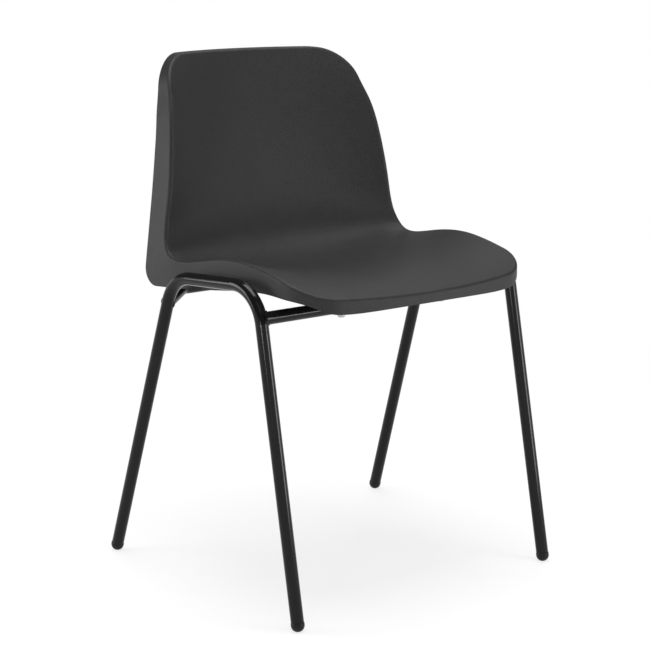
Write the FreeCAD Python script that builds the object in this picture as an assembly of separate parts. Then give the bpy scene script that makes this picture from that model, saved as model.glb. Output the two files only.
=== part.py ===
import FreeCAD, Part
import math
import os

import BOPTools.SplitAPI as SplitAPI

# Stacking chair: a one-piece moulded seat and back on a welded round-tube frame.
# Millimetres. Z is up, the floor is z = 0, the chair faces -Y, the sitter's left is +X.
# All sizes below are drawn about the middle of the feet and moved at the end, so that
# the origin is the middle of the chair's footprint box.

Vector = FreeCAD.Vector
X_AXIS = Vector(1, 0, 0)
Y_AXIS = Vector(0, 1, 0)
Z_AXIS = Vector(0, 0, 1)
ORIGIN = Vector(0, 0, 0)

# Overall sizes: height of the seat's front edge, height of the back above it, and half
# the width of the seat
SEAT_HEIGHT = 462.0
BACK_HEIGHT = 320.0
SEAT_HALF_WIDTH = 214.5

# Frame tube
TUBE_OD = 19.0
TUBE_WALL = 2.0
BEND_RADIUS = 60.0

# Side frame, an upside-down U in a plane that leans in and toes in. Its feet stand out
# from the seat's side, its rail stands up above the seat's front edge.
FRONT_FOOT_OUT = 24.9
REAR_FOOT_OUT = 50.2
FOOT_SPACING_Y = 450.0
FRAME_LEAN = 0.0166
FRONT_LEG_SLOPE = 0.2022
REAR_LEG_SLOPE = 0.3402
RAIL_FRONT_RISE = 18.6
RAIL_FALL = 0.0715

# Cross tubes: how far their tops lie below the seat's front edge. The rear one turns
# down at its ends, inside the seat's side, to pass under the side's lower edge.
FRONT_CROSS_DROP = 16.0
REAR_CROSS_Y = 118.0
REAR_CROSS_DROP = 16.6
REAR_CROSS_INSET = 12.5
REAR_CROSS_END_DROP = 27.5
REAR_CROSS_BEND_RADIUS = 22.0
WELD_SIZE = 1.6

# Feet
FOOT_OVERHANG = 0.5
FOOT_FLAT = 0.5
FOOT_VISIBLE = 14.0
FOOT_LIP = 1.0
STEM_LENGTH = 22.0
STEM_CLEARANCE = 0.15
STEM_RIB_DEPTH = 0.9
STEM_RIB_PITCH = 5.0
STEM_RIBS = 4
STEM_RIB_SHARE = 0.6

# Moulded shell
WALL = 4.5
FOLD_RADIUS = 4.5
TOP_CORNER_RADIUS = 60.0
TOP_CORNER_LEAN = 0.35
TOP_FLANGE = 28.0
FRONT_Y = -234.0
FRONT_BOW_RADIUS = 870.0
FRONT_CORNER_RADIUS = 71.0
HEEL_RADIUS = 27.0
SIDE_OVERRUN = 12.0
DRAW_DEPTH = 160.0
OPEN_SLACK = 9.0
CUTTER_WIDENING = 1.4
RIBBON_DROP = 57.0
SLICE_TOLERANCE = 1e-4

# Shell sections from the front lip to the top edge. Each is an arc across the chair,
# through a point on the centre line and a crest point at each side: centre y and height,
# crest x, y and height. Crest x is counted from the seat's half width. Heights are
# counted from the seat's front edge, in millimetres for the seat and as a share of the
# back's height for the back.
SEAT_SECTIONS = {
    "lip": (-266, -16, 0, -246, -9),
    "front": (-236, 0, 0, -214, 6),
    "knee": (-195, 8, 0, -186, 19.5),
    "thigh": (-140, 11, 0.5, -140, 33),
    "side": (-60, 5.5, 3.5, -60, 44),
    "pan": (15, 0, 5, 10, 38),
    "hip": (85, 1, 10.5, 72, 26),
    "tail": (125, 10, 14.5, 97, 25.5),
    "waist": (153, 29, 15, 113, 32),
}
BACK_SECTIONS = {
    "loin": (172, 0.191, 10.5, 126, 0.17),
    "lumbar": (185, 0.338, 1.5, 129, 0.324),
    "middle": (200, 0.541, -9, 135.5, 0.541),
    "shoulder": (218, 0.744, -21, 152, 0.744),
    "nape": (233, 0.9, -33.5, 178, 0.9),
    "top": (244, 1.006, -40.5, 198, 1.006),
    "beyond": (257, 1.138, -52.5, 219.5, 1.138),
}

# Way that the side wall runs from the crest at each section: its turn in degrees from
# straight down towards straight back, and how much it flares for each millimetre
WALL_WAY = {
    "side": (0, 0.03),
    "pan": (0, 0.04),
    "hip": (12, 0.04),
    "tail": (35, 0.04),
    "waist": (55, 0.04),
    "loin": (75, 0.04),
    "lumbar": (88, 0.04),
    "middle": (90, 0.04),
    "shoulder": (90, 0.02),
}

# Lower edge of the seat's wall, seen from the side: y, and height from the seat's front
# edge. Further in than the two insets nothing is trimmed, so the pan keeps its depth.
LOWER_EDGE = (
    (-285, -14.5),
    (-250, -14.5),
    (-235, -14.8),
    (-224, -17),
    (-215, -14),
    (-205, -7),
    (-192, -1.5),
    (-165, 2.5),
    (-120, 4),
    (-60, -0.5),
    (0, -8.5),
    (60, -16),
    (125, -22),
    (180, -26.5),
    (300, -34),
)
TRIM_INSET_X = 33.0
TRIM_INSET_Y = 39.0

# Rear edge of the back's wall: how far it stands behind the crest at each section
REAR_EDGE = {
    "loin": 49,
    "lumbar": 48.5,
    "middle": 46.5,
    "shoulder": 42,
    "nape": 29.5,
    "top": 15.5,
    "beyond": 9,
}
HEEL_Y = 175.5
HEEL_CENTRE_Y = 205.0
HEEL_FLARE = 16.0

# Fixing bosses, ribs and screws
BOSS_X = 95.0
BOSS_RADIUS = 11.0
BOSS_RIB_LENGTH = 24.0
BOSS_RIB_THICKNESS = 3.0
BOSS_RIB_GAP = 4.0
SADDLE_OVERRUN = 20.0
SEAT_GAP = 0.05
SCREW_RADIUS = 2.5
SCREW_HOLE_CLEARANCE = 0.5
SCREW_BITE = 13.0
PILOT_CLEARANCE = 0.05
PILOT_EXTRA = 2.0
SCREW_HEAD_RADIUS = 5.5
SCREW_HEAD_HEIGHT = 3.6
SCREW_DOME_SHARE = 0.6
DRIVE_RADIUS = 1.7
DRIVE_DEPTH = 2.0
WASHER_RADIUS = 7.5
WASHER_THICKNESS = 2.6

TUBE_RADIUS = TUBE_OD / 2
BORE_RADIUS = TUBE_RADIUS - TUBE_WALL
FOOT_RADIUS = TUBE_RADIUS + FOOT_OVERHANG
FOOT_BALL_Z = FOOT_RADIUS - FOOT_FLAT
TOP_Z = SEAT_HEIGHT + BACK_HEIGHT
FRONT_CROSS_Z = SEAT_HEIGHT - FRONT_CROSS_DROP - TUBE_RADIUS
REAR_CROSS_Z = SEAT_HEIGHT - REAR_CROSS_DROP - TUBE_RADIUS
REAR_CROSS_END_Z = SEAT_HEIGHT - REAR_CROSS_END_DROP - TUBE_RADIUS
LOWER_POINTS = [(y, SEAT_HEIGHT + height) for y, height in LOWER_EDGE]


def section_height(name, height):
    """Height above the floor of a height given in one of the section tables."""
    return SEAT_HEIGHT + (height if name in SEAT_SECTIONS else height * BACK_HEIGHT)


def section_row(name):
    """Centre y and height, crest x, y and height of a section, as the tables give them."""
    return SEAT_SECTIONS[name] if name in SEAT_SECTIONS else BACK_SECTIONS[name]


def centre_of(name):
    """Point of a shell section on the centre line."""
    centre_y, height = section_row(name)[:2]
    return Vector(0, centre_y, section_height(name, height))


def crest_of(name):
    """Point of a shell section at the sitter's left."""
    out, crest_y, height = section_row(name)[2:]
    return Vector(SEAT_HALF_WIDTH + out, crest_y, section_height(name, height))


def mirrored(shape):
    """The same shape on the other side of the chair."""
    return shape.mirror(ORIGIN, X_AXIS)


def largest(shape):
    """The largest solid in a shape."""
    return max(shape.Solids, key=lambda solid: solid.Volume)


# Frame

def side_frame_plane():
    """Front foot ball, direction along the floor and direction up the frame's plane."""
    front = Vector(SEAT_HALF_WIDTH + FRONT_FOOT_OUT, -FOOT_SPACING_Y / 2, FOOT_BALL_Z)
    rear = Vector(SEAT_HALF_WIDTH + REAR_FOOT_OUT, FOOT_SPACING_Y / 2, FOOT_BALL_Z)
    along = (rear - front).normalize()
    up = Vector(-FRAME_LEAN, 0, 1)
    up = (up - along * up.dot(along)).normalize()
    return front, rear, along, up


def side_frame_corners():
    """Foot ball, sharp front corner, sharp rear corner and foot ball of the left frame."""
    front, rear, along, up = side_frame_plane()
    length = (rear - front).Length
    rail_height = SEAT_HEIGHT + RAIL_FRONT_RISE - FOOT_BALL_Z
    front_along = FRONT_LEG_SLOPE * rail_height
    rear_height = (rail_height - RAIL_FALL * (length - front_along)) / (1 - RAIL_FALL * REAR_LEG_SLOPE)
    rear_along = length - REAR_LEG_SLOPE * rear_height
    front_corner = front + along * front_along + up * rail_height
    rear_corner = front + along * rear_along + up * rear_height
    return front, front_corner, rear_corner, rear


def straight_rod(start, end, radius):
    """Solid round bar between two points."""
    return Part.makeCylinder(radius, start.distanceToPoint(end), start, end - start)


def bent_rod(points, bend_radius, radius):
    """Solid round bar along straight runs joined by tangent bends."""
    lengths = []
    start = points[0]
    for before, corner, after in zip(points, points[1:], points[2:]):
        inward = (before - corner).normalize()
        outward = (after - corner).normalize()
        half_turn = (math.pi - inward.getAngle(outward)) / 2
        tangent = bend_radius * math.tan(half_turn)
        bend_start = corner + inward * tangent
        hub = corner + (inward + outward).normalize() * (bend_radius / math.cos(half_turn))
        section = Part.Face(Part.Wire(Part.Circle(bend_start, inward, radius).toShape()))
        lengths.append(straight_rod(start, bend_start, radius))
        lengths.append(section.revolve(hub, outward.cross(inward), math.degrees(2 * half_turn)))
        start = corner + outward * tangent
    lengths.append(straight_rod(start, points[-1], radius))
    return lengths[0].fuse(lengths[1:])


def leg_cut_points():
    """Side frame points with each leg cut off square above its foot."""
    front, front_corner, rear_corner, rear = side_frame_corners()
    lift = FOOT_VISIBLE - FOOT_RADIUS
    front_end = front + (front_corner - front).normalize() * lift
    rear_end = rear + (rear_corner - rear).normalize() * lift
    return front_end, front_corner, rear_corner, rear_end


def left_side_rod(radius):
    """Solid bar with the left side frame's bends."""
    return bent_rod(leg_cut_points(), BEND_RADIUS, radius)


def leg_point(ball, corner, height):
    """Point on a leg's straight axis at a height above the floor."""
    way = corner - ball
    return ball + way * ((height - ball.z) / way.z)


def front_cross_points():
    """Ends of the front cross tube, on the axes of the front legs."""
    front, front_corner, _, _ = side_frame_corners()
    end = leg_point(front, front_corner, FRONT_CROSS_Z)
    return [Vector(-end.x, end.y, end.z), end]


def rear_cross_points():
    """Route of the rear cross tube, whose ends turn down to the rear legs."""
    _, _, rear_corner, rear = side_frame_corners()
    end = leg_point(rear, rear_corner, REAR_CROSS_END_Z)
    knee = Vector(SEAT_HALF_WIDTH - REAR_CROSS_INSET, REAR_CROSS_Y, REAR_CROSS_Z)
    return [Vector(-end.x, end.y, end.z), Vector(-knee.x, knee.y, knee.z), knee, end]


def cross_rod(points, radius):
    """Solid bar along a cross tube's route."""
    if len(points) == 2:
        return straight_rod(points[0], points[1], radius)
    return bent_rod(points, REAR_CROSS_BEND_RADIUS, radius)


def cross_tube(points, screw_y, screw_z):
    """Cross tube coped round both side frames, with its welds, drilled for two screws."""
    weld = cross_rod(points, TUBE_RADIUS + WELD_SIZE).common(left_side_rod(TUBE_RADIUS + WELD_SIZE))
    tube = cross_rod(points, TUBE_RADIUS).fuse([weld, mirrored(weld)])
    leg = left_side_rod(TUBE_RADIUS)
    for cutter in (leg, mirrored(leg), cross_rod(points, BORE_RADIUS)):
        tube = largest(tube.cut(cutter))
    for side in (-1, 1):
        foot = Vector(side * BOSS_X, screw_y, screw_z - TUBE_OD)
        tube = tube.cut(Part.makeCylinder(SCREW_RADIUS + SCREW_HOLE_CLEARANCE, 2 * TUBE_OD, foot, Z_AXIS))
    return largest(tube)


def foot(ball, corner):
    """Domed foot with a ribbed stem that plugs the leg's bore."""
    axis = (corner - ball).normalize()
    lift = FOOT_VISIBLE - FOOT_RADIUS
    stem_radius = BORE_RADIUS - STEM_CLEARANCE
    core_radius = stem_radius - STEM_RIB_DEPTH
    profile = [
        Part.LineSegment(Vector(0, 0, -FOOT_RADIUS), Vector(0, 0, lift + STEM_LENGTH)).toShape(),
        Part.Arc(
            Vector(0, 0, -FOOT_RADIUS),
            Vector(FOOT_RADIUS * math.sin(math.pi / 4), 0, -FOOT_RADIUS * math.cos(math.pi / 4)),
            Vector(FOOT_RADIUS, 0, 0),
        ).toShape(),
    ]
    outline = [
        Vector(FOOT_RADIUS, 0, 0),
        Vector(FOOT_RADIUS, 0, lift - FOOT_LIP),
        Vector(TUBE_RADIUS, 0, lift),
        Vector(core_radius, 0, lift),
    ]
    first_rib = lift + STEM_RIB_PITCH / 2
    for rib in range(STEM_RIBS):
        base = first_rib + rib * STEM_RIB_PITCH
        outline.append(Vector(core_radius, 0, base))
        outline.append(Vector(stem_radius, 0, base))
        outline.append(Vector(core_radius, 0, base + STEM_RIB_PITCH * STEM_RIB_SHARE))
    outline.append(Vector(core_radius, 0, lift + STEM_LENGTH))
    outline.append(Vector(0, 0, lift + STEM_LENGTH))
    profile += Part.makePolygon(outline).Edges
    turned = Part.Face(Part.Wire(Part.__sortEdges__(profile))).revolve(ORIGIN, Z_AXIS, 360)
    turned.Placement = FreeCAD.Placement(ball, FreeCAD.Rotation(Z_AXIS, axis))
    floor = Part.makeBox(2 * FOOT_RADIUS, 2 * FOOT_RADIUS, FOOT_RADIUS)
    floor.translate(Vector(ball.x - FOOT_RADIUS, ball.y - FOOT_RADIUS, -FOOT_RADIUS))
    return largest(turned.cut(floor))


# Shell

def section_arc(centre, crest):
    """Arc from side to side through a centre point, run on a little past both crests."""
    rise = Vector(0, crest.y - centre.y, crest.z - centre.z)
    depth = rise.Length
    rise.normalize()
    radius = (crest.x ** 2 + depth ** 2) / (2 * depth)
    reach = math.asin(crest.x / radius) + SIDE_OVERRUN / radius
    hub = centre + rise * radius
    end = hub - rise * radius * math.cos(reach) + X_AXIS * radius * math.sin(reach)
    return Part.Wire(Part.Arc(Vector(-end.x, end.y, end.z), centre, end).toShape())


def skin_face():
    """Sitting side of the shell, larger all round than the finished outline."""
    names = list(SEAT_SECTIONS) + list(BACK_SECTIONS)
    arcs = [section_arc(centre_of(name), crest_of(name)) for name in names]
    return Part.makeLoft(arcs, False, False).Faces[0]


def lower_tool():
    """Everything below the lower edge of the seat's wall, but nothing under the pan."""
    reach = SEAT_HALF_WIDTH * CUTTER_WIDENING
    edge = Part.BSplineCurve()
    edge.interpolate(Points=[Vector(-reach, y, z) for y, z in LOWER_POINTS])
    band = edge.toShape().extrude(X_AXIS * 2 * reach)
    below = band.extrude(Z_AXIS * -2 * DRAW_DEPTH)
    inner_x = SEAT_HALF_WIDTH - TRIM_INSET_X
    corner = Vector(-inner_x, FRONT_Y + TRIM_INSET_Y, SEAT_HEIGHT - 3 * DRAW_DEPTH)
    length = LOWER_POINTS[-1][0] - corner.y
    return below.cut(Part.makeBox(2 * inner_x, length, 4 * DRAW_DEPTH, corner))


def rear_tool():
    """Everything behind the rear edge of the back's wall."""
    arcs = []
    for z in (SEAT_HEIGHT - DRAW_DEPTH / 2, SEAT_HEIGHT):
        side = Vector(SEAT_HALF_WIDTH + HEEL_FLARE, HEEL_Y, z)
        arcs.append(section_arc(Vector(0, HEEL_CENTRE_Y, z), side))
    for name, depth in REAR_EDGE.items():
        arcs.append(section_arc(centre_of(name) + Y_AXIS * TOP_FLANGE, crest_of(name) + Y_AXIS * depth))
    return Part.makeLoft(arcs, False, False).Faces[0].extrude(Y_AXIS * 2 * DRAW_DEPTH)


def outline_arc(hub, radius, start, end, second_axis):
    """Arc about a hub in the plane of X and a second axis, between two angles in degrees."""
    points = []
    for angle in (start, (start + end) / 2, end):
        turn = math.radians(angle)
        points.append(hub + X_AXIS * radius * math.cos(turn) + second_axis * radius * math.sin(turn))
    return Part.Arc(*points).toShape()


def front_wall(inset, top_z, bottom_z):
    """Half of the bowed front wall with its rounded corner, and the corner's rear end."""
    bow_hub = Vector(0, FRONT_Y + FRONT_BOW_RADIUS, top_z)
    hub_x = SEAT_HALF_WIDTH - FRONT_CORNER_RADIUS
    hub_y = bow_hub.y - math.sqrt((FRONT_BOW_RADIUS - FRONT_CORNER_RADIUS) ** 2 - hub_x ** 2)
    hub = Vector(hub_x, hub_y, top_z)
    meet = math.degrees(math.atan2(hub.y - bow_hub.y, hub.x - bow_hub.x))
    bow = outline_arc(bow_hub, FRONT_BOW_RADIUS - inset, -90, meet, Y_AXIS)
    corner = outline_arc(hub, FRONT_CORNER_RADIUS - inset, meet, 0, Y_AXIS)
    down = Z_AXIS * (bottom_z - top_z)
    return [bow.extrude(down), corner.extrude(down)], hub + X_AXIS * (FRONT_CORNER_RADIUS - inset)


def top_wall(inset, front_y, back_y):
    """Half of the top wall with its rounded corner, the corner's lower end and the side's lean."""
    low, high = crest_of("middle"), crest_of("nape")
    lean = math.atan2(low.x - high.x, high.z - low.z)
    normal = Vector(math.cos(lean), 0, math.sin(lean))
    hub_z = TOP_Z - TOP_CORNER_RADIUS
    hub_x = high.x - (TOP_CORNER_RADIUS + (hub_z - high.z) * normal.z) / normal.x
    hub = Vector(hub_x, front_y, hub_z)
    corner = outline_arc(hub, TOP_CORNER_RADIUS - inset, math.degrees(lean), 90, Z_AXIS)
    edge_z = TOP_Z - inset
    edge = Part.makeLine(Vector(hub_x, front_y, edge_z), Vector(0, front_y, edge_z))
    back = Y_AXIS * (back_y - front_y)
    return [corner.extrude(back), edge.extrude(back)], hub + normal * (TOP_CORNER_RADIUS - inset), lean


def guide_curve(points, parameters, start_way, end_way):
    """Smooth curve through the points with a given direction at each end."""
    count = len(points)
    start_speed = points[0].distanceToPoint(points[1]) / parameters[1]
    end_speed = points[-2].distanceToPoint(points[-1]) / (1 - parameters[-2])
    tangents = [start_way.normalize() * start_speed]
    tangents += [ORIGIN] * (count - 2)
    tangents.append(end_way.normalize() * end_speed)
    flags = [True] + [False] * (count - 2) + [True]
    curve = Part.BSplineCurve()
    curve.interpolate(Points=points, Parameters=parameters, Tangents=tangents, TangentFlags=flags)
    return curve.toShape()


def wall_ribbon(inset):
    """Surface of the turned-down wall, right round the shell, moved inwards by an inset."""
    lift = 2 * FOLD_RADIUS
    top_z = crest_of("thigh").z + lift + FOLD_RADIUS
    bottom_z = LOWER_POINTS[0][1] - RIBBON_DROP
    front_y = crest_of("shoulder").y + FOLD_RADIUS
    back_y = crest_of("beyond").y + DRAW_DEPTH / 2
    front_faces, front_end = front_wall(inset, top_z, bottom_z)
    top_faces, top_end, lean = top_wall(inset, front_y, back_y)
    outer = [front_end]
    inner = [Vector(front_end.x, front_end.y, bottom_z)]
    for name, (turn, flare) in WALL_WAY.items():
        crest = crest_of(name) - X_AXIS * inset
        way = Vector(flare, math.sin(math.radians(turn)), -math.cos(math.radians(turn)))
        reaches = []
        if way.z < 0:
            reaches.append((bottom_z - crest.z) / way.z)
        if way.y > 0:
            reaches.append((back_y - crest.y) / way.y)
        outer.append(crest - way * lift)
        inner.append(crest + way * min(reaches))
    outer.append(top_end)
    inner.append(Vector(top_end.x, back_y, top_end.z))
    steps = [0.0]
    for here, there in zip(outer, outer[1:]):
        steps.append(steps[-1] + here.distanceToPoint(there))
    parameters = [step / steps[-1] for step in steps]
    side_way = Vector(-math.sin(lean), 0, math.cos(lean))
    outer_end_way = side_way + Y_AXIS * TOP_CORNER_LEAN
    side = Part.makeRuledSurface(
        guide_curve(outer, parameters, Vector(0, 1, 0), outer_end_way),
        guide_curve(inner, parameters, Vector(0, 1, 0), side_way),
    )
    half = front_faces + [side] + top_faces
    ribbon = Part.makeShell(half + [mirrored(face) for face in half])
    ribbon.sewShape()
    return ribbon


def shell_block(inset, drop, slack):
    """Filled form of the shell: below and behind the skin, inside the wall ribbon."""
    skin = skin_face()
    skin.translate(Vector(0, drop, -drop))
    block = skin.extrude(Vector(0, DRAW_DEPTH, -DRAW_DEPTH))
    lower = lower_tool()
    rear = rear_tool()
    lower.translate(Z_AXIS * -slack)
    rear.translate(Y_AXIS * slack)
    block = largest(block.cut([lower, rear]))
    heel = [edge for edge in block.Edges if is_heel(edge, slack)]
    block = block.makeFillet(HEEL_RADIUS + slack, heel)
    return largest(SplitAPI.slice(block, [wall_ribbon(inset)], "Split", tolerance=SLICE_TOLERANCE))


def is_heel(edge, slack):
    """True for the edge across the rear bottom corner."""
    low = LOWER_POINTS[-2][1] - slack
    return all(abs(v.Z - low) < HEEL_RADIUS and v.Y > HEEL_Y - HEEL_RADIUS for v in edge.Vertexes)


def boss_with_ribs(x, y, tube_z):
    """Round fixing boss with crossed ribs, tall enough to reach well into the skin."""
    seat_z = tube_z + TUBE_RADIUS - TUBE_WALL
    height = crest_of("side").z - seat_z
    foot_point = Vector(x, y, seat_z)
    rib_z = tube_z + TUBE_RADIUS + BOSS_RIB_GAP
    rib_height = crest_of("side").z - rib_z
    half = BOSS_RIB_THICKNESS / 2
    parts = [Part.makeCylinder(BOSS_RADIUS, height, foot_point, Z_AXIS)]
    for dx, dy in ((BOSS_RIB_LENGTH, half), (half, BOSS_RIB_LENGTH)):
        parts.append(Part.makeBox(2 * dx, 2 * dy, rib_height, Vector(x - dx, y - dy, rib_z)))
    return parts[0].fuse(parts[1:])


def seat_shell(fixings):
    """Moulded seat and back with its deep turned wall, bosses and ribs."""
    outside = shell_block(0, 0, 0)
    skin = max(outside.Faces, key=lambda face: face.Area)
    outside = outside.makeFillet(FOLD_RADIUS, skin.Edges)
    inside = shell_block(WALL, WALL, OPEN_SLACK)
    bosses = []
    holes = []
    for x, y, tube_z, seat in fixings:
        bosses.append(boss_with_ribs(x, y, tube_z).common(inside))
        hole_base = Vector(x, y, tube_z)
        hole_length = TUBE_RADIUS + SCREW_BITE + PILOT_EXTRA
        holes.append(Part.makeCylinder(SCREW_RADIUS + PILOT_CLEARANCE, hole_length, hole_base, Z_AXIS))
        holes.append(seat)
    shell = outside.cut(inside)
    shell = shell.fuse(bosses)
    return largest(shell.cut(holes).removeSplitter())


# Screws

def screw(x, y, tube_z):
    """Pan-head screw driven up through the cross tube into a boss."""
    head_top = tube_z - TUBE_RADIUS - WASHER_THICKNESS
    tip_z = tube_z + TUBE_RADIUS + SCREW_BITE
    edge = SCREW_HEAD_HEIGHT * SCREW_DOME_SHARE
    profile = Part.makePolygon([
        Vector(0, 0, tip_z),
        Vector(0, 0, head_top - SCREW_HEAD_HEIGHT),
        Vector(SCREW_HEAD_RADIUS - edge, 0, head_top - SCREW_HEAD_HEIGHT),
    ]).Edges
    bulge = edge * (1 - math.cos(math.pi / 4))
    profile.append(Part.Arc(
        Vector(SCREW_HEAD_RADIUS - edge, 0, head_top - SCREW_HEAD_HEIGHT),
        Vector(SCREW_HEAD_RADIUS - bulge, 0, head_top - SCREW_HEAD_HEIGHT + bulge),
        Vector(SCREW_HEAD_RADIUS, 0, head_top - SCREW_HEAD_HEIGHT + edge),
    ).toShape())
    profile += Part.makePolygon([
        Vector(SCREW_HEAD_RADIUS, 0, head_top - SCREW_HEAD_HEIGHT + edge),
        Vector(SCREW_HEAD_RADIUS, 0, head_top),
        Vector(SCREW_RADIUS, 0, head_top),
        Vector(SCREW_RADIUS, 0, tip_z - SCREW_RADIUS),
        Vector(0, 0, tip_z),
    ]).Edges
    body = Part.Face(Part.Wire(Part.__sortEdges__(profile))).revolve(ORIGIN, Z_AXIS, 360)
    turns = [math.radians(step * 60) for step in range(7)]
    corners = [Vector(math.cos(turn), math.sin(turn), 0) * DRIVE_RADIUS for turn in turns]
    drive = Part.makePolygon(corners)
    socket = Part.Face(Part.Wire(drive.Edges)).extrude(Z_AXIS * DRIVE_DEPTH)
    socket.translate(Z_AXIS * (head_top - SCREW_HEAD_HEIGHT))
    body = largest(body.cut(socket))
    body.translate(Vector(x, y, 0))
    return body


def saddle_washer(x, y, tube_z, rod):
    """Thick washer whose upper face is hollowed to sit on the round tube."""
    base = tube_z - TUBE_RADIUS - WASHER_THICKNESS
    blank = Part.makeCylinder(WASHER_RADIUS, WASHER_THICKNESS + TUBE_WALL, Vector(x, y, base), Z_AXIS)
    hole = Part.makeCylinder(SCREW_RADIUS + SCREW_HOLE_CLEARANCE, TUBE_OD, Vector(x, y, base), Z_AXIS)
    return largest(blank.cut([rod, hole]))


# Assembly

def build():
    """All the chair's pieces by name, with each group of like fasteners under one name."""
    front, front_corner, rear_corner, rear = side_frame_corners()
    side_frame = largest(left_side_rod(TUBE_RADIUS).cut(left_side_rod(BORE_RADIUS)))
    front_points = front_cross_points()
    rear_points = rear_cross_points()
    front_y = front_points[0].y
    half_seat = BOSS_X + SADDLE_OVERRUN
    fixings = []
    for y, z in ((front_y, FRONT_CROSS_Z), (REAR_CROSS_Y, REAR_CROSS_Z)):
        rod = Part.makeCylinder(TUBE_RADIUS + SEAT_GAP, 2 * half_seat, Vector(-half_seat, y, z), X_AXIS)
        fixings += [(-BOSS_X, y, z, rod), (BOSS_X, y, z, rod)]
    pieces = {
        "seat_shell": [seat_shell(fixings)],
        "left_side_frame": [side_frame],
        "right_side_frame": [mirrored(side_frame)],
        "front_cross_tube": [cross_tube(front_points, front_y, FRONT_CROSS_Z)],
        "rear_cross_tube": [cross_tube(rear_points, REAR_CROSS_Y, REAR_CROSS_Z)],
        "shell_screws": [screw(x, y, z) for x, y, z, _ in fixings],
        "saddle_washers": [saddle_washer(x, y, z, rod) for x, y, z, rod in fixings],
    }
    front_foot = foot(front, front_corner)
    rear_foot = foot(rear, rear_corner)
    pieces["left_front_foot"] = [front_foot]
    pieces["right_front_foot"] = [mirrored(front_foot)]
    pieces["left_rear_foot"] = [rear_foot]
    pieces["right_rear_foot"] = [mirrored(rear_foot)]
    return pieces


def footprint_shift(pieces):
    """Move that brings the middle of the whole box, seen from above, to x = y = 0."""
    boxes = [solid.optimalBoundingBox() for solids in pieces.values() for solid in solids]
    low = min(box.YMin for box in boxes)
    high = max(box.YMax for box in boxes)
    return Vector(0, -(low + high) / 2, 0)


def main():
    """Build the pieces, centre them and write one file for each."""
    os.makedirs("parts", exist_ok=True)
    pieces = build()
    shift = footprint_shift(pieces)
    print("footprint shift", round(shift.y, 3))
    for name, solids in pieces.items():
        placed = []
        for solid in solids:
            moved = solid.copy()
            moved.translate(shift)
            placed.append(moved)
            print(name, moved.ShapeType, "valid" if moved.isValid() else "INVALID", round(moved.Volume))
        shape = placed[0] if len(placed) == 1 else Part.makeCompound(placed)
        shape.exportStep("parts/" + name + ".step")


main()
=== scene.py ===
import math

import bpy
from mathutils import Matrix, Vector


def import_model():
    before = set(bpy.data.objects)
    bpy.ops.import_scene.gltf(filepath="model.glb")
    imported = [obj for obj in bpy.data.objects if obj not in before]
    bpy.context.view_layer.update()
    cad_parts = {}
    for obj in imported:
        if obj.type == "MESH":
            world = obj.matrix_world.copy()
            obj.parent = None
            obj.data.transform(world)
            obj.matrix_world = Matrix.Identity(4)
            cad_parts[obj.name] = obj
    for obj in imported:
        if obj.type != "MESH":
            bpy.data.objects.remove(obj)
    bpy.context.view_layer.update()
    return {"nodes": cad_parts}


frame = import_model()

# Metres, in the row frame: the floor is z = 0, the sitter faces -Y, +X is the sitter's left.

# Camera, as found from the photograph's perspective; angles in degrees
CAMERA_PLACE = (-1.6462, -2.1473, 0.9690)
CAMERA_PITCH_DOWN = 12.51
CAMERA_YAW = 37.39
CAMERA_LENS_MM = 98.73
CAMERA_SENSOR_MM = 36.0
CAMERA_REACH = 100.0

# World: dim light all round. Gloss and glass see the white background up to WHITE_BAND_TOP
# above the horizon, and less of it up to WHITE_BAND_FADE; both are sines of the height angle.
AMBIENT = 0.06
WHITE_BAND_TOP = 0.10
WHITE_BAND_FADE = 0.22
WHITE = (1.0, 1.0, 1.0, 1.0)

# Floor: FLOOR_GREY lights the chair from below. The camera, gloss and glass see FLOOR_SEEN_GREY
# raised by FLOOR_LIFT, so that the shadow is pale, and plain white past FLOOR_FADE_END.
FLOOR_RADIUS = 14.0
FLOOR_SIDES = 96
FLOOR_GREY = 0.80
FLOOR_SEEN_GREY = 0.30
FLOOR_LIFT = 0.78
FLOOR_FADE_START = 0.6
FLOOR_FADE_END = 1.7

# Lamps: azimuth in degrees (0 is +X, 90 is behind the chair), height angle in degrees,
# distance from the aim, side of the square lamp and power in watts
LAMP_AIM = (0.0, 0.0, 0.55)
LAMPS = {
    "softbox_top": (90.0, 89.0, 2.6, 1.8, 68.0),
    "softbox_left_low": (145.0, 8.0, 3.0, 1.3, 35.0),
    "softbox_front_low": (300.0, 0.0, 2.2, 0.8, 17.0),
    "striplight_left": (217.0, 2.0, 2.4, 0.2, 5.0),
    "softbox_behind_right": (35.0, 42.0, 3.0, 1.3, 8.0),
    "softbox_front_left": (250.0, 42.0, 3.0, 1.3, 4.0),
}

# Shell plastic: a range is the value at the low and the high end of its noise
PLASTIC_COLOUR = (0.024, 0.024, 0.025)
PLASTIC_SHADES = (0.92, 1.1)
PLASTIC_ROUGHNESS = (0.46, 0.60)
PLASTIC_SPECULAR = 0.34
CLOUD_SIZE = 0.06
GRAIN_SIZE = 0.0019
GRAIN_DEPTH = 0.0006
GRAIN_FINENESS = 0.55
# Painted shade and highlight of the grain: a speckle that multiplies the colour and stands in for
# the grain's micro shading
GRAIN_PAINTED_SHADING = (0.3, 1.7)

# Tube paint
PAINT_COLOUR = (0.010, 0.010, 0.011)
PAINT_SHADES = (0.9, 1.15)
PAINT_ROUGHNESS = (0.09, 0.17)
PAINT_SPECULAR = 0.2
HAZE_SIZE = 0.03
PEEL_SIZE = 0.0022
PEEL_DETAIL = 1.5
PEEL_DEPTH = 0.00002

# Foot nylon
NYLON_DARK = (0.008, 0.008, 0.008)
NYLON_PALE = (0.016, 0.016, 0.016)
NYLON_ROUGHNESS = (0.3, 0.5)
NYLON_SPECULAR = 0.2
SCUFF_SIZE = 0.004
SCUFF_DEPTH = 0.00004

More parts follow.
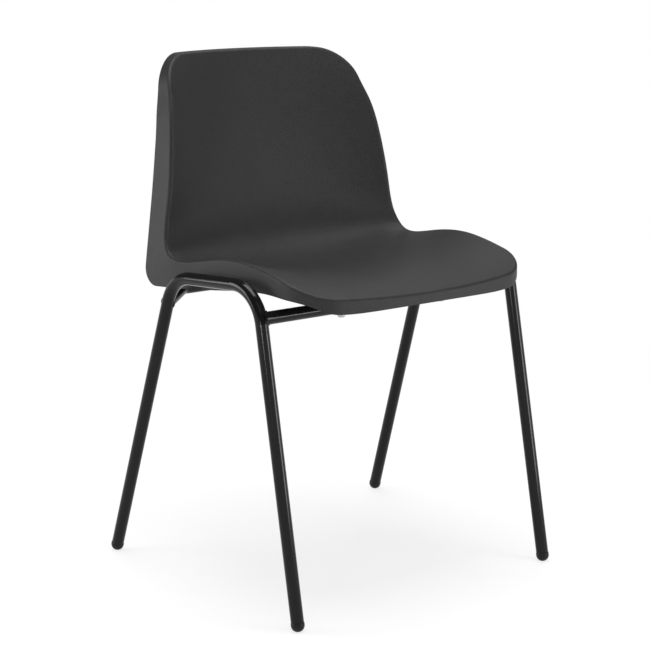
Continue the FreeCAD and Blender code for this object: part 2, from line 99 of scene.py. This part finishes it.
# Zinc plate on the screws and washers
ZINC_DARK = (0.38, 0.39, 0.41)
ZINC_PALE = (0.55, 0.55, 0.56)
ZINC_ROUGHNESS = (0.45, 0.6)
MOTTLE_SIZE = 0.0015
MOTTLE_DEPTH = 0.00002

# All noise that has no values of its own
NOISE_DETAIL = 3.0
NOISE_FINENESS = 0.5

TUBES = ("left_side_frame", "right_side_frame", "front_cross_tube", "rear_cross_tube")
FEET = ("left_front_foot", "right_front_foot", "left_rear_foot", "right_rear_foot")
FIXINGS = ("shell_screws", "saddle_washers")


# Node helpers

def new_material(name):
    """New node material: the material, its node tree and its principled shader."""
    material = bpy.data.materials.new(name)
    material.use_nodes = True
    tree = material.node_tree
    return material, tree, tree.nodes["Principled BSDF"]


def opaque(colour):
    """A colour's three values with full cover."""
    return (*colour, 1.0)


def grey(level):
    """A plain grey."""
    return opaque((level, level, level))


def scaled(colour, factor):
    """A colour made lighter or darker."""
    return opaque(value * factor for value in colour)


def object_point(tree):
    """The object's own coordinates, in metres."""
    return tree.nodes.new("ShaderNodeTexCoord").outputs["Object"]


def noise(tree, size, detail=NOISE_DETAIL, fineness=NOISE_FINENESS):
    """Three-dimensional noise with features of about the given size in metres."""
    node = tree.nodes.new("ShaderNodeTexNoise")
    node.inputs["Scale"].default_value = 1.0 / size
    node.inputs["Detail"].default_value = detail
    node.inputs["Roughness"].default_value = fineness
    tree.links.new(object_point(tree), node.inputs["Vector"])
    return node.outputs["Fac"]


def ramp(tree, value, ends):
    """The value, remapped from 0..1 to the two ends."""
    node = tree.nodes.new("ShaderNodeMapRange")
    node.inputs["To Min"].default_value, node.inputs["To Max"].default_value = ends
    tree.links.new(value, node.inputs["Value"])
    return node.outputs["Result"]


def smooth_step(tree, value, start, end, before, after):
    """Runs smoothly from one level to another while the value goes from start to end."""
    node = tree.nodes.new("ShaderNodeMapRange")
    node.interpolation_type = "SMOOTHSTEP"
    node.inputs["From Min"].default_value = start
    node.inputs["From Max"].default_value = end
    node.inputs["To Min"].default_value = before
    node.inputs["To Max"].default_value = after
    tree.links.new(value, node.inputs["Value"])
    return node.outputs["Result"]


def colour_between(tree, value, low, high):
    """Colour that goes from low to high as the value goes from 0 to 1."""
    node = tree.nodes.new("ShaderNodeMix")
    node.data_type = "RGBA"
    node.inputs["A"].default_value = low
    node.inputs["B"].default_value = high
    tree.links.new(value, node.inputs["Factor"])
    return node.outputs["Result"]


def multiplied(tree, first, second):
    """Two colours multiplied."""
    node = tree.nodes.new("ShaderNodeMix")
    node.data_type = "RGBA"
    node.blend_type = "MULTIPLY"
    node.inputs["Factor"].default_value = 1.0
    tree.links.new(first, node.inputs["A"])
    tree.links.new(second, node.inputs["B"])
    return node.outputs["Result"]


def calculated(tree, operation, first, second):
    """Two numbers put through a maths node."""
    node = tree.nodes.new("ShaderNodeMath")
    node.operation = operation
    tree.links.new(first, node.inputs[0])
    tree.links.new(second, node.inputs[1])
    return node.outputs["Value"]


def bump(tree, height, depth):
    """Surface normal roughened by a height that is depth metres deep."""
    node = tree.nodes.new("ShaderNodeBump")
    node.inputs["Strength"].default_value = 1.0
    node.inputs["Distance"].default_value = depth
    tree.links.new(height, node.inputs["Height"])
    return node.outputs["Normal"]


def mixed(tree, share, first, second):
    """Shader that goes from the first to the second as the share goes from 0 to 1."""
    node = tree.nodes.new("ShaderNodeMixShader")
    tree.links.new(share, node.inputs["Fac"])
    tree.links.new(first, node.inputs[1])
    tree.links.new(second, node.inputs[2])
    return node.outputs["Shader"]


def background_share(tree, gloss_share=None):
    """1 for camera rays, and 1 or the given share for gloss and transmission rays."""
    path = tree.nodes.new("ShaderNodeLightPath").outputs
    share = calculated(tree, "MAXIMUM", path["Is Glossy Ray"], path["Is Transmission Ray"])
    if gloss_share is not None:
        share = calculated(tree, "MULTIPLY", share, gloss_share)
    return calculated(tree, "MAXIMUM", path["Is Camera Ray"], share)


def set_surface(tree, shader, colour, roughness, normal):
    """Links the principled shader's colour, roughness and normal."""
    tree.links.new(colour, shader.inputs["Base Color"])
    tree.links.new(roughness, shader.inputs["Roughness"])
    tree.links.new(normal, shader.inputs["Normal"])


# Materials

def shell_plastic():
    """Charcoal polypropylene with a fine moulded grain, whose micro shading is painted into the
    colour as a light and dark speckle.
    """
    material, tree, shader = new_material("shell_polypropylene")
    grain = noise(tree, GRAIN_SIZE, fineness=GRAIN_FINENESS)
    cloud = noise(tree, CLOUD_SIZE)
    dark, pale = (scaled(PLASTIC_COLOUR, shade) for shade in PLASTIC_SHADES)
    # The grain's micro shading is painted into the colour as a light and dark speckle that
    # multiplies it
    low, high = (grey(level) for level in GRAIN_PAINTED_SHADING)
    even = colour_between(tree, cloud, dark, pale)
    colour_with_painted_shading = multiplied(tree, even, colour_between(tree, grain, low, high))
    roughness = ramp(tree, grain, PLASTIC_ROUGHNESS)
    set_surface(tree, shader, colour_with_painted_shading, roughness, bump(tree, grain, GRAIN_DEPTH))
    shader.inputs["Specular IOR Level"].default_value = PLASTIC_SPECULAR
    return material


def tube_paint():
    """Gloss black powder coat with a faint orange peel."""
    material, tree, shader = new_material("gloss_black_powder_coat")
    peel = noise(tree, PEEL_SIZE, detail=PEEL_DETAIL)
    haze = noise(tree, HAZE_SIZE)
    dark, pale = (scaled(PAINT_COLOUR, shade) for shade in PAINT_SHADES)
    colour = colour_between(tree, haze, dark, pale)
    roughness = ramp(tree, haze, PAINT_ROUGHNESS)
    set_surface(tree, shader, colour, roughness, bump(tree, peel, PEEL_DEPTH))
    shader.inputs["Specular IOR Level"].default_value = PAINT_SPECULAR
    return material


def foot_plastic():
    """Black nylon, lightly scuffed all over."""
    material, tree, shader = new_material("foot_nylon")
    scuff = noise(tree, SCUFF_SIZE)
    colour = colour_between(tree, scuff, opaque(NYLON_DARK), opaque(NYLON_PALE))
    roughness = ramp(tree, scuff, NYLON_ROUGHNESS)
    set_surface(tree, shader, colour, roughness, bump(tree, scuff, SCUFF_DEPTH))
    shader.inputs["Specular IOR Level"].default_value = NYLON_SPECULAR
    return material


def zinc_plate():
    """Zinc plated steel with a faint mottle."""
    material, tree, shader = new_material("zinc_plated_steel")
    mottle = noise(tree, MOTTLE_SIZE)
    colour = colour_between(tree, mottle, opaque(ZINC_DARK), opaque(ZINC_PALE))
    roughness = ramp(tree, mottle, ZINC_ROUGHNESS)
    set_surface(tree, shader, colour, roughness, bump(tree, mottle, MOTTLE_DEPTH))
    shader.inputs["Metallic"].default_value = 1.0
    return material


def give(node, material):
    """The CAD node gets one material."""
    mesh = frame["nodes"][node].data
    mesh.materials.clear()
    mesh.materials.append(material)


# Studio

def add_to_scene(name, data):
    """New object with the given data, in the scene."""
    item = bpy.data.objects.new(name, data)
    bpy.context.scene.collection.objects.link(item)
    return item


def camera():
    """Camera with the photograph's viewpoint and field of view."""
    data = bpy.data.cameras.new("camera")
    data.lens = CAMERA_LENS_MM
    data.sensor_width = CAMERA_SENSOR_MM
    data.clip_end = CAMERA_REACH
    item = add_to_scene("camera", data)
    item.location = CAMERA_PLACE
    item.rotation_euler = (math.radians(90.0 - CAMERA_PITCH_DOWN), 0.0, -math.radians(CAMERA_YAW))
    bpy.context.scene.camera = item


def lamp(name, azimuth, elevation, distance, side, power):
    """Square area lamp aimed at the middle of the chair."""
    turn, climb = math.radians(azimuth), math.radians(elevation)
    level = math.cos(climb)
    way = Vector((math.cos(turn) * level, math.sin(turn) * level, math.sin(climb)))
    data = bpy.data.lights.new(name, "AREA")
    data.size = side
    data.energy = power
    item = add_to_scene(name, data)
    item.location = Vector(LAMP_AIM) + way * distance
    item.rotation_euler = (-way).to_track_quat("-Z", "Y").to_euler()


def background(tree, colour):
    """World shader of one plain colour."""
    node = tree.nodes.new("ShaderNodeBackground")
    node.inputs["Color"].default_value = colour
    return node.outputs["Background"]


def world():
    """Dim surroundings; the background is white, and gloss shows it as a band round the horizon."""
    scene_world = bpy.data.worlds.new("studio")
    scene_world.use_nodes = True
    tree = scene_world.node_tree
    tree.nodes.clear()
    way = tree.nodes.new("ShaderNodeSeparateXYZ")
    tree.links.new(tree.nodes.new("ShaderNodeTexCoord").outputs["Generated"], way.inputs["Vector"])
    band = smooth_step(tree, way.outputs["Z"], WHITE_BAND_TOP, WHITE_BAND_FADE, 1.0, 0.0)
    share = background_share(tree, band)
    whole = mixed(tree, share, background(tree, grey(AMBIENT)), background(tree, WHITE))
    output = tree.nodes.new("ShaderNodeOutputWorld")
    tree.links.new(whole, output.inputs["Surface"])
    bpy.context.scene.world = scene_world


def matt(tree, level):
    """Matt grey shader."""
    node = tree.nodes.new("ShaderNodeBsdfDiffuse")
    node.inputs["Color"].default_value = grey(level)
    return node.outputs["BSDF"]


def glow(tree, strength):
    """White emission, which only the rays that see the background meet."""
    node = tree.nodes.new("ShaderNodeEmission")
    node.inputs["Strength"].default_value = strength
    return node.outputs["Emission"]


def floor_material():
    """White floor that takes the chair's shadow and meets the white surroundings."""
    material = bpy.data.materials.new("white_floor")
    material.use_nodes = True
    tree = material.node_tree
    tree.nodes.clear()
    near = tree.nodes.new("ShaderNodeAddShader")
    tree.links.new(matt(tree, FLOOR_SEEN_GREY), near.inputs[0])
    tree.links.new(glow(tree, FLOOR_LIFT), near.inputs[1])
    reach = tree.nodes.new("ShaderNodeVectorMath")
    reach.operation = "LENGTH"
    tree.links.new(object_point(tree), reach.inputs[0])
    fade = smooth_step(tree, reach.outputs["Value"], FLOOR_FADE_START, FLOOR_FADE_END, 0.0, 1.0)
    seen = mixed(tree, fade, near.outputs["Shader"], glow(tree, 1.0))
    whole = mixed(tree, background_share(tree), matt(tree, FLOOR_GREY), seen)
    output = tree.nodes.new("ShaderNodeOutputMaterial")
    tree.links.new(whole, output.inputs["Surface"])
    return material


def floor():
    """Round floor under the chair."""
    corners = []
    for step in range(FLOOR_SIDES):
        turn = 2.0 * math.pi * step / FLOOR_SIDES
        corners.append((FLOOR_RADIUS * math.cos(turn), FLOOR_RADIUS * math.sin(turn), 0.0))
    mesh = bpy.data.meshes.new("floor")
    mesh.from_pydata(corners, [], [list(range(FLOOR_SIDES))])
    mesh.materials.append(floor_material())
    add_to_scene("floor", mesh)


def view_settings():
    """Colours as written, without a film look."""
    bpy.context.scene.view_settings.view_transform = "Standard"


def finish_nodes():
    """Every CAD node gets its material."""
    finishes = (
        (shell_plastic(), ("seat_shell",)),
        (tube_paint(), TUBES),
        (foot_plastic(), FEET),
        (zinc_plate(), FIXINGS),
    )
    for material, nodes in finishes:
        for node in nodes:
            give(node, material)


view_settings()
camera()
world()
floor()
for name, values in LAMPS.items():
    lamp(name, *values)
finish_nodes()
